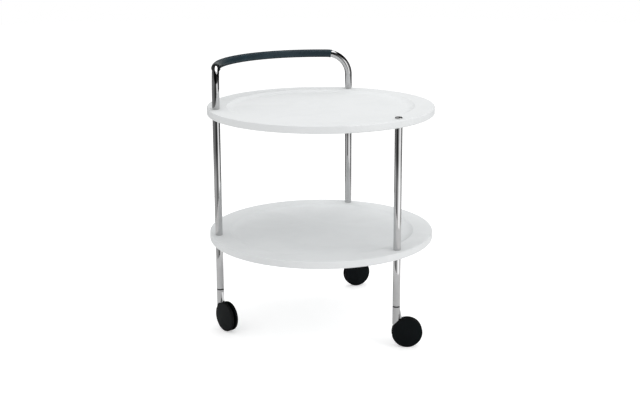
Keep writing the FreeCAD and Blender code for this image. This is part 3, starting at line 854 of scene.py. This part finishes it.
def one_stitch(sizes):
    """A short bowed length of thread along the X axis, with closed ends."""
    reach = sizes.stitch_reach
    heights = [STITCH_RISE * height for height in STITCH_HEIGHTS]
    stitch = add_ring("sleeve_stitches", sizes.thread / 2, (-reach, 0, heights[0]),
                      Vector((1, 0, 0)), STITCH_SIDES)
    for before, after in zip(heights, heights[1:]):
        extrude((2 * reach / (len(heights) - 1), 0, after - before))
    bpy.ops.mesh.select_all(action="SELECT")
    bpy.ops.mesh.fill_holes(sides=STITCH_SIDES)
    close_up()
    return stitch


class TROLLEY_OT_sleeve_stitches(bpy.types.Operator):
    """Sew the sleeve's seam with crossed stitches"""

    bl_idname = "trolley.sleeve_stitches"
    bl_label = "Sleeve stitches"

    def execute(self, context):
        sizes = context.scene.trolley_sizes
        run = BowRun()
        stitch = one_stitch(sizes)
        outside = sizes.tube_diameter / 2 + sizes.leather_fit + sizes.leather_thickness
        copies = []
        stations = int((run.covered - sizes.slit_length - BARE_ENDS) / sizes.stitch_pitch)
        for step in range(stations):
            along = sizes.slit_length + FIRST_STITCH + step * sizes.stitch_pitch
            centre, direction, inward, down = run.station(along)
            seam = sizes.seam_side + seam_climb(along, sizes)
            outward = down * math.cos(seam) + inward * math.sin(seam)
            around = inward * math.cos(seam) - down * math.sin(seam)
            for slant in (-STITCH_SLANT, STITCH_SLANT):
                across = around * math.cos(slant) + direction * math.sin(slant)
                turned = Matrix((across, outward.cross(across), outward)).transposed().to_4x4()
                place = Matrix.Translation(centre + outward * (outside + STITCH_LIFT)) @ turned
                copies.append(copy_piece(stitch, f"stitch_{len(copies)}", place))
        pick(copies[0])
        for copy in copies:
            copy.select_set(True)
        bpy.ops.object.join()
        bpy.data.objects.remove(stitch)
        sewing = bpy.context.object
        sewing.name = "sleeve_stitches"
        thread = plain_plastic("waxed_thread", finish_colours().thread, roughness=(0.5, 0.62),
                               grain_scale=4000, depth=0.00006)
        dress(sewing, thread)
        return {"FINISHED"}


# Steps of a wheel's dome and rounded edges, and the tread's room on its disc.
DOME_STEPS, EDGE_STEPS, CROWN_STEPS = 12, 4, 6
TREAD_FIT = 0.00002


def disc_points(sizes):
    """Half section of a disc: bore, inner face, rim and domed outer face."""
    inner = sizes.wheel_inner
    outer = inner + sizes.wheel_width
    face = sizes.disc_radius - sizes.disc_edge
    ball = (face ** 2 + sizes.disc_dome ** 2) / (2 * sizes.disc_dome)
    ball_centre = outer + sizes.disc_dome - ball
    rim = rounded((face, outer - sizes.disc_edge), sizes.disc_edge, 0, 90, EDGE_STEPS)
    radii = [face * (1 - step / DOME_STEPS) for step in range(1, DOME_STEPS + 1)]
    dome = [(radius, ball_centre + math.sqrt(ball ** 2 - radius ** 2)) for radius in radii]
    bore_end = inner + sizes.bore_depth
    return [(0, bore_end), (sizes.wheel_bore, bore_end), (sizes.wheel_bore, inner),
            (sizes.disc_radius, inner), *rim, *dome]


def tread_points(sizes):
    """Section of a tread: rounded inner shoulder, level crown and falling outer shoulder."""
    inner = sizes.wheel_inner
    outer = inner + sizes.wheel_width
    seat = sizes.disc_radius + TREAD_FIT
    soft = sizes.tread_edge
    crown_end = inner + soft + sizes.tread_crown
    shoulder = outer - crown_end
    bow = (shoulder ** 2 + sizes.tread_drop ** 2) / (2 * sizes.tread_drop)
    sweep = math.degrees(math.asin(shoulder / bow))
    return [(seat, inner),
            *rounded((sizes.tread_radius - soft, inner + soft), soft, -90, 0, EDGE_STEPS),
            *rounded((sizes.tread_radius - bow, crown_end), bow, 0, sweep, CROWN_STEPS),
            (seat, outer), (seat, inner)]


class TROLLEY_OT_wheels(bpy.types.Operator):
    """Turn the wheel discs and their treads, and put a pair on each castor"""

    bl_idname = "trolley.wheels"
    bl_label = "Castor wheels"

    def execute(self, context):
        sizes = context.scene.trolley_sizes
        colours = finish_colours()
        disc = turn_profile("wheel_disc", disc_points(sizes))
        tread = turn_profile("wheel_tread", tread_points(sizes))
        plastic = plain_plastic("wheel_plastic", colours.wheel, roughness=(0.36, 0.44),
                                grain_scale=1500, depth=0.00003, gloss=0.07)
        rubber = plain_plastic("wheel_rubber", colours.tread, roughness=(0.62, 0.75),
                               grain_scale=1100, depth=0.00006, gloss=0.12)
        parts = (("disc", disc, plastic, "wheel_plastic"), ("tread", tread, rubber, "wheel_tread"))
        for leg in LEGS:
            trail = AXLES[leg] - LEG_AXES[leg]
            heading = math.atan2(trail.y, trail.x)
            for wheel, flip in (("a", 0), ("b", math.pi)):
                place = Matrix.Translation(AXLES[leg]) @ Matrix.Rotation(heading + flip, 4, "Z")
                for part, model, material, slot in parts:
                    dress(copy_piece(model, f"{leg}_{part}_{wheel}", place), material,
                          f"{leg}_wheel_{wheel}", [f"{leg}_wheel_{part}_{wheel}"])
        bpy.data.objects.remove(disc)
        bpy.data.objects.remove(tread)
        return {"FINISHED"}


class TROLLEY_OT_castor_bodies(bpy.types.Operator):
    """Finish the chrome castor bodies"""

    bl_idname = "trolley.castor_bodies"
    bl_label = "Castor bodies"

    def execute(self, context):
        colours = finish_colours()
        chrome = polished_chrome("castor_chrome", colours.castor_chrome, colours.chrome_haze,
                                 (0.07, 0.16))
        dress_nodes(chrome, *[f"{leg}_castor_body" for leg in LEGS])
        return {"FINISHED"}


class TROLLEY_OT_hardware(bpy.types.Operator):
    """Finish the studs, plugs, bushes, washers, sockets, stems and axles"""

    bl_idname = "trolley.hardware"
    bl_label = "Small fittings"

    def execute(self, context):
        colours = finish_colours()
        nylon = plain_plastic("dark_nylon", colours.dark_nylon, roughness=(0.42, 0.55),
                              grain_scale=1800, depth=0.00004)
        clear = plain_plastic("clear_nylon", colours.clear_nylon, roughness=(0.35, 0.45),
                              grain_scale=1800, depth=0.00002)
        steel = plain_metal("plain_steel", colours.steel, roughness=(0.26, 0.42))
        aluminium = plain_metal("plug_aluminium", colours.aluminium, roughness=(0.3, 0.45))
        brass = plain_metal("bush_brass", colours.brass, roughness=(0.25, 0.4))
        for leg in LEGS:
            dress_nodes(nylon, f"{leg}_castor_socket", f"{leg}_swivel_washer")
            dress_nodes(steel, f"{leg}_castor_stem", f"{leg}_castor_grip_ring", f"{leg}_castor_axle")
        for tray in ("upper_tray", "lower_tray"):
            dress_nodes(clear, f"{tray}_top_washers", f"{tray}_underside_washers")
            dress_nodes(steel, f"{tray}_studs")
            dress_nodes(brass, f"{tray}_bushes")
        dress_nodes(aluminium, "handle_end_plugs", "upper_post_top_plugs",
                    "upper_post_bottom_plugs", "lower_post_top_plugs")
        return {"FINISHED"}


# ---- stage ----

CAMERA_PLACE = Vector((-0.5633, -2.3469, 0.9234))
CAMERA_YAW, CAMERA_PITCH, CAMERA_ROLL = (math.radians(turn) for turn in (13.442, 13.243, -0.181))
# Millimetres, and the shift as a share of the frame's width.
CAMERA_LENS, CAMERA_SENSOR, CAMERA_SHIFT = 62.48, 36, -0.05
KEY_LAMP_PLACE, KEY_LAMP_SIZE = (1.9, -2.0, 2.3), 1.7
TOP_LAMP_PLACE, TOP_LAMP_SIZE = (0.25, 0.85, 2.35), 1.3
LAMP_AIM = Vector((0, 0, 0.3))
# The floor lies this far under the wheels.
FLOOR_DROP = 0.0002
FLOOR_COLOUR = (0.84, 0.84, 0.84)
# Angle round the trolley in degrees, and how bright the wall is there.
WALL_TONES = ((-180, 0.3), (-156, 0.26), (-140, 0.17), (-122, 0.06), (-106, 0.09), (-92, 0.34),
              (-76, 0.6), (-62, 0.95), (-50, 0.8), (-36, 0.5), (-10, 0.24), (18, 0.12),
              (45, 0.05), (62, 0.04), (80, 0.06), (110, 0.06), (130, 0.12), (155, 0.32),
              (180, 0.3))
# Between these heights the wall's contrast grows to this gamma.
CONTRAST_FROM, CONTRAST_TO, CONTRAST = 0.24, 0.36, 1.7
# The ceiling's opening, its rise over the wall, the wall's height that fades to it, and its light.
OPENING_X, OPENING_Y = 0, 0.4
CEILING_RISE, CEILING_FADE, CEILING_LIGHT = 0.001, 0.1, 0.08


def add_floor(stage):
    """Pale round floor that takes shadows and shows nearly white to the camera."""
    deselect()
    bpy.ops.mesh.primitive_circle_add(vertices=96, radius=stage.floor_radius, fill_type="NGON",
                                      location=(0, 0, -FLOOR_DROP))
    floor = bpy.context.object
    floor.name = "floor"
    bpy.ops.object.transform_apply()
    finish = Finish("pale_floor", Specular_IOR_Level=0.0)
    finish.colour(FLOOR_COLOUR)
    glow = add(finish.tree, "Math", {1: stage.floor_glow}, operation="MULTIPLY")
    finish.shader.inputs["Emission Color"].default_value = (1, 1, 1, 1)
    finish.link(is_ray(finish.tree, "Camera", "Transmission"), glow.inputs[0])
    finish.link(glow.outputs[0], finish.shader.inputs["Emission Strength"])
    floor.data.materials.append(finish.material)


def add_walls(stage):
    """Round wall, dark and light by turns, and dark ceiling, that only reflections show."""
    deselect()
    top = stage.wall_foot + stage.wall_height
    bpy.ops.mesh.primitive_cylinder_add(
        vertices=128, radius=stage.wall_radius, depth=stage.wall_height,
        end_fill_type="NOTHING", location=(0, 0, top - stage.wall_height / 2))
    walls = begin("studio_walls")
    mesh = bmesh.from_edit_mesh(walls.data)
    for vert in mesh.verts:
        vert.select = vert.co.z > stage.wall_foot + stage.wall_height / 2
    mesh.select_flush(False)
    extrude((0, 0, CEILING_RISE))
    bpy.ops.transform.resize(value=(stage.skylight, stage.skylight, 1),
                             center_override=(OPENING_X, OPENING_Y, top))
    bpy.ops.object.mode_set(mode="OBJECT")
    walls.data.materials.append(wall_material(stage, top))
    for rays in ("camera", "diffuse", "transmission", "volume_scatter", "shadow"):
        setattr(walls, f"visible_{rays}", False)


def wall_material(stage, top):
    """Material that glows by the tone round the wall, and fades towards the ceiling."""
    material = bpy.data.materials.new("studio_walls")
    material.use_nodes = True
    tree = material.node_tree
    tree.nodes.clear()
    place = add(tree, "TexCoord")
    round_it = add(tree, "TexGradient", gradient_type="RADIAL")
    tones = add(tree, "ValToRGB")
    split = add(tree, "SeparateXYZ")
    rise = add(tree, "MapRange", {"From Min": CONTRAST_FROM, "From Max": CONTRAST_TO,
                                  "To Min": 1, "To Max": CONTRAST})
    deepen = add(tree, "Gamma")
    fade = add(tree, "MapRange", {"From Min": top - CEILING_FADE, "From Max": top,
                                  "To Min": stage.wall_light, "To Max": CEILING_LIGHT})
    glow = add(tree, "Emission")
    leave = add(tree, "OutputMaterial")
    ramp = tones.color_ramp
    while len(ramp.elements) < len(WALL_TONES):
        ramp.elements.new(1)
    for element, (turn, tone) in zip(ramp.elements, WALL_TONES):
        element.position = (turn + 180) / 360
        element.color = (tone, tone, tone, 1)
    wire(tree, (place, "Object", round_it, "Vector"), (place, "Object", split, "Vector"),
         (round_it, "Fac", tones, "Fac"), (tones, "Color", deepen, "Color"),
         (split, "Z", rise, "Value"), (rise, "Result", deepen, "Gamma"),
         (split, "Z", fade, "Value"), (fade, "Result", glow, "Strength"),
         (deepen, "Color", glow, "Color"), (glow, "Emission", leave, "Surface"))
    return material


def add_lamp(name, place, size, energy):
    """Square soft lamp aimed at the trolley's middle."""
    aim = LAMP_AIM - Vector(place)
    bpy.ops.object.light_add(type="AREA", location=place,
                             rotation=aim.to_track_quat("-Z", "Y").to_euler())
    lamp = bpy.context.object
    lamp.name = name
    lamp.data.size = size
    lamp.data.energy = energy


def light_all_round(scene, stage):
    """World at the ambient strength, and white to camera, glossy and transmission rays."""
    world = bpy.data.worlds.new("studio")
    scene.world = world
    world.use_nodes = True
    tree = world.node_tree
    level = add(tree, "MapRange", {"To Min": stage.ambient, "To Max": 1})
    tree.links.new(is_ray(tree, "Camera", "Glossy", "Transmission"), level.inputs["Value"])
    background = tree.nodes["Background"]
    background.inputs["Color"].default_value = (1, 1, 1, 1)
    wire(tree, (level, "Result", background, "Strength"))


def add_camera(scene):
    """Camera at the photograph's place and angle."""
    forward = Vector((math.sin(CAMERA_YAW) * math.cos(CAMERA_PITCH),
                      math.cos(CAMERA_YAW) * math.cos(CAMERA_PITCH), -math.sin(CAMERA_PITCH)))
    level = Vector((math.cos(CAMERA_YAW), -math.sin(CAMERA_YAW), 0))
    upright = level.cross(forward)
    right = level * math.cos(CAMERA_ROLL) + upright * math.sin(CAMERA_ROLL)
    above = upright * math.cos(CAMERA_ROLL) - level * math.sin(CAMERA_ROLL)
    turned = Matrix((right, above, -forward)).transposed()
    bpy.ops.object.camera_add(location=CAMERA_PLACE, rotation=turned.to_euler())
    camera = bpy.context.object
    camera.name = "camera"
    camera.data.sensor_width = CAMERA_SENSOR
    camera.data.lens = CAMERA_LENS
    camera.data.shift_y = CAMERA_SHIFT
    scene.camera = camera


class TROLLEY_OT_stage(bpy.types.Operator):
    """Set the floor, the light, the grey walls and the camera"""

    bl_idname = "trolley.stage"
    bl_label = "Stage"

    def execute(self, context):
        stage = context.scene.trolley_stage
        add_floor(stage)
        add_walls(stage)
        add_lamp("key_light", KEY_LAMP_PLACE, KEY_LAMP_SIZE, stage.key_power)
        add_lamp("top_light", TOP_LAMP_PLACE, TOP_LAMP_SIZE, stage.top_power)
        light_all_round(context.scene, stage)
        add_camera(context.scene)
        context.scene.view_settings.view_transform = "Standard"
        return {"FINISHED"}


# ---- panel and registration ----

PIECE_OPERATORS = (
    TROLLEY_OT_trays, TROLLEY_OT_posts, TROLLEY_OT_handle_bow, TROLLEY_OT_leather_sleeve,
    TROLLEY_OT_sleeve_stitches, TROLLEY_OT_wheels, TROLLEY_OT_castor_bodies, TROLLEY_OT_hardware,
    TROLLEY_OT_stage,
)
PROPERTY_GROUPS = {
    "trolley_sizes": TrolleySizes,
    "trolley_finish": TrolleyFinish,
    "trolley_stage": TrolleyStage,
}


class TROLLEY_PT_panel(bpy.types.Panel):
    """Trolley pieces with their sizes, colours and light"""

    bl_idname = "TROLLEY_PT_panel"
    bl_label = "Round serving trolley"
    bl_space_type = "VIEW_3D"
    bl_region_type = "UI"
    bl_category = "Trolley"

    def draw(self, context):
        for operator in PIECE_OPERATORS:
            self.layout.operator(operator.bl_idname)
        for group, kind in PROPERTY_GROUPS.items():
            box = self.layout.box()
            for name in kind.__annotations__:
                box.prop(getattr(context.scene, group), name)


def register():
    for kind in (*PROPERTY_GROUPS.values(), *PIECE_OPERATORS, TROLLEY_PT_panel):
        bpy.utils.register_class(kind)
    for group, kind in PROPERTY_GROUPS.items():
        setattr(bpy.types.Scene, group, PointerProperty(type=kind))


def unregister():
    for group in PROPERTY_GROUPS:
        delattr(bpy.types.Scene, group)
    for kind in reversed((*PROPERTY_GROUPS.values(), *PIECE_OPERATORS, TROLLEY_PT_panel)):
        bpy.utils.unregister_class(kind)


def main():
    """Make the trolley and its stage."""
    register()
    build_effects()
    for operator in PIECE_OPERATORS:
        group, name = operator.bl_idname.split(".")
        getattr(getattr(bpy.ops, group), name)()


if __name__ == "__main__":
    main()
